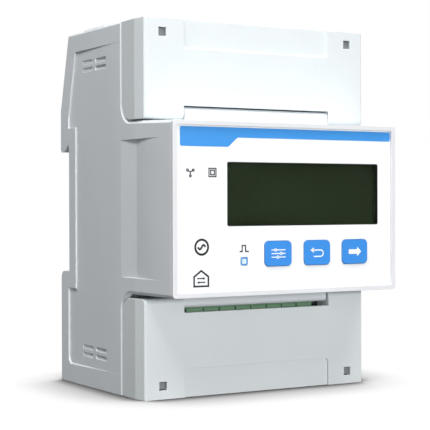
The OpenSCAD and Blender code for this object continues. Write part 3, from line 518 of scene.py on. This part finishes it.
def pane_shade_border(shape):
    """Black border round the edge of the display's pane, painted shade along the window's edges; it also
    hides the wall behind it.
    """
    low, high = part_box("lcd_window")
    middle_x, middle_z = (low.x + high.x) / 2 / MM, (low.z + high.z) / 2 / MM
    width, height = (high.x - low.x) / MM, (high.z - low.z) / MM
    outer = fillet(rectangle(middle_x, middle_z, width + 0.06, height + 0.06), 0.48)
    inner = fillet(rectangle(middle_x, middle_z, width - 0.36, height - 0.36), 0.3)
    frame_plate(shape, outer, inner, FILM_Y - 0.01, FILM_Y + 0.8)


def legend_planes(button):
    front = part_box(button)[0].y / MM
    return front - INK, front + INK / 2


def middle(button):
    low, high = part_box(button)
    return (low.x + high.x) / 2 / MM, (low.z + high.z) / 2 / MM


def slider_legend(shape):
    """Three lines with a knob each, the sign for settings."""
    planes = legend_planes("set_button")
    x, z = middle("set_button")
    for line, knob in ((0.95, -0.9), (0.0, 0.8), (-0.95, -0.2)):
        for start, end in ((x - 2.2, x + knob - 0.42), (x + knob + 0.42, x + 2.2)):
            stroke(shape, [(start, z + line), (end, z + line)], 0.26, *planes)
        ring = [circle(x + knob, z + line, r, 20) for r in (0.44, 0.2)]
        frame_plate(shape, *ring, *planes)


def return_legend(shape):
    """Arrow that turns back, the sign for leaving a menu."""
    planes = legend_planes("escape_button")
    x, z = middle("escape_button")
    bend = [(x + 1.05 + 0.85 * math.sin(a), z - 0.2 + 0.85 * math.cos(a))
            for a in (math.pi * i / 10 for i in range(11))]
    stroke(shape, [(x - 1.5, z + 0.65), *bend, (x - 1.2, z - 1.05)], 0.32, *planes)
    plate(shape, [(x - 2.3, z + 0.65), (x - 1.2, z + 1.4), (x - 1.2, z - 0.1)], *planes)


def arrow_legend(shape):
    planes = legend_planes("next_button")
    x, z = middle("next_button")
    outline = [(x - 2.1, z - 0.62), (x + 0.75, z - 0.62), (x + 0.75, z - 1.3), (x + 2.1, z),
               (x + 0.75, z + 1.3), (x + 0.75, z + 0.62), (x - 2.1, z + 0.62)]
    plate(shape, outline, *planes)


def segment_ghosts(shape):
    """Unpowered seven-segment figures on the display glass, a row of large ones over a row of small ones."""
    low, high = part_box("lcd_panel")
    front, middle_x = low.y / MM, (low.x + high.x) / 2 / MM
    planes = (front - 0.02, front + 0.01)
    for row, (z, height, count) in enumerate(((55.6, 7.2, 8), (48.6, 3.4, 12))):
        pitch = 40 / count
        width = pitch * 0.6
        for i in range(count):
            x = middle_x + (i - (count - 1) / 2) * pitch
            segments = [((-1, y), (1, y)) for y in (-1, 0, 1)]
            segments += [((sx, y), (sx, y + 1)) for sx in (-1, 1) for y in (-1, 0)]
            for (ax, az), (bx, bz) in segments:
                start = Vector((x + ax * width / 2, z + az * height / 2))
                end = Vector((x + bx * width / 2, z + bz * height / 2))
                gap = (end - start).normalized() * height * 0.06
                stroke(shape, [start + gap, end - gap], height * 0.09, *planes)


def print_face():
    solid("band_print", blue_band, "meter_body", "blue_print")
    solid("lamp_print", lamp_outline, "meter_body", "blue_print")
    solid("pane_shade_border", pane_shade_border, "meter_body", "black_print")
    signs = {"star_print": phase_star, "insulation_print": double_square, "pulse_print": pulse_sign,
             "wave_print": wave_sign, "exchange_print": exchange_sign}
    for name, build in signs.items():
        solid(name, build, "meter_body", "black_print")
    solid("set_legend", slider_legend, "set_button", "white_print")
    solid("escape_legend", return_legend, "escape_button", "white_print")
    solid("next_legend", arrow_legend, "next_button", "white_print")
    solid("display_segments", segment_ghosts, "meter_body", "display_glass")


# ---------------------------------------------------------------- stage

def add_floor():
    """Pale round floor: it glows white to the camera, with a painted shadow that dims the glow close to what
    stands on it.
    """
    shape = bmesh.new()
    bmesh.ops.create_circle(shape, cap_ends=True, segments=96, radius=FLOOR_RADIUS)
    mesh = bpy.data.meshes.new("floor")
    shape.to_mesh(mesh)
    shape.free()
    floor = bpy.data.objects.new("floor", mesh)
    bpy.context.scene.collection.objects.link(floor)
    floor.location.z = cad_low.z - FLOOR_GAP
    tree = Tree("floor")
    seen = tree.nodes.new("ShaderNodeLightPath").outputs["Is Camera Ray"]
    bounce = tree.mix(tree.noise(9, 4), *(toned((1, 1, 1), share) for share in FLOOR_BOUNCE))
    tree.drive("Base Color", tree.mix(seen, bounce, (0.0, 0.0, 0.0)))
    tree.constant("Roughness", 0.9)
    tree.constant("Specular IOR Level", 0.0)
    tree.constant("Emission Color", (1, 1, 1, 1))
    # Painted shadow: the glow is dimmed where things nearby close off the sky, a soft shadow round the foot
    # and a darker line where it stands.
    painted_wide_shadow = tree.span(tree.openness(SHADOW_REACH), 0.42, 0.92, 0.25, 1.02)
    painted_contact_shadow = tree.span(tree.openness(CONTACT_SHADOW_REACH), 0.5, 0.85, 0.2, 1.0)
    glow = tree.math("MULTIPLY", painted_wide_shadow, painted_contact_shadow)
    tree.drive("Emission Strength", tree.math("MULTIPLY", glow, seen))
    mesh.materials.append(tree.material)


def add_light(name, place, aim, size, power):
    lamp = bpy.data.lights.new(name, "AREA")
    lamp.shape = "RECTANGLE"
    lamp.size, lamp.size_y = size
    lamp.energy = power
    light = bpy.data.objects.new(name, lamp)
    light.location = place
    light.rotation_euler = (Vector(aim) - Vector(place)).to_track_quat("-Z", "Y").to_euler()
    light.visible_camera = False
    bpy.context.scene.collection.objects.link(light)


def add_world(fill):
    """White to the camera; a dimmer, even fill for everything it lights."""
    world = bpy.data.worlds.new("studio")
    world.use_nodes = True
    tree = world.node_tree
    background = tree.nodes["Background"]
    background.inputs["Color"].default_value = (1, 1, 1, 1)
    seen = tree.nodes.new("ShaderNodeLightPath").outputs["Is Camera Ray"]
    strength = tree.nodes.new("ShaderNodeMapRange")
    strength.inputs["To Min"].default_value = fill
    strength.inputs["To Max"].default_value = 1.0
    tree.links.new(seen, strength.inputs["Value"])
    tree.links.new(strength.outputs["Result"], background.inputs["Strength"])
    bpy.context.scene.world = world


def add_camera():
    """Medium telephoto lens from the front left, level with the face."""
    data = bpy.data.cameras.new("camera")
    data.sensor_width = SENSOR_WIDTH
    data.lens = FOCAL_LENGTH
    data.shift_x, data.shift_y = LENS_SHIFT
    data.clip_start = 0.01
    camera = bpy.data.objects.new("camera", data)
    camera.location = Vector(CAMERA_PLACE) * MM
    turn = Matrix.Rotation(math.radians(CAMERA_TURN), 4, "Z")
    tilt = Matrix.Rotation(math.radians(90 - CAMERA_DIP), 4, "X")
    roll = Matrix.Rotation(math.radians(CAMERA_ROLL), 4, "Z")
    camera.rotation_euler = (turn @ tilt @ roll).to_euler()
    bpy.context.scene.collection.objects.link(camera)
    bpy.context.scene.camera = camera


def set_stage():
    add_floor()
    add_world(WORLD_FILL)
    aim = (cad_low + cad_high) / 2
    for name, place, size, power in LIGHTS:
        add_light(name, place, aim, size, power)
    bpy.context.scene.view_settings.view_transform = "Standard"
    add_camera()


finish_frame()
shorten_spring()
print_face()
set_stage()
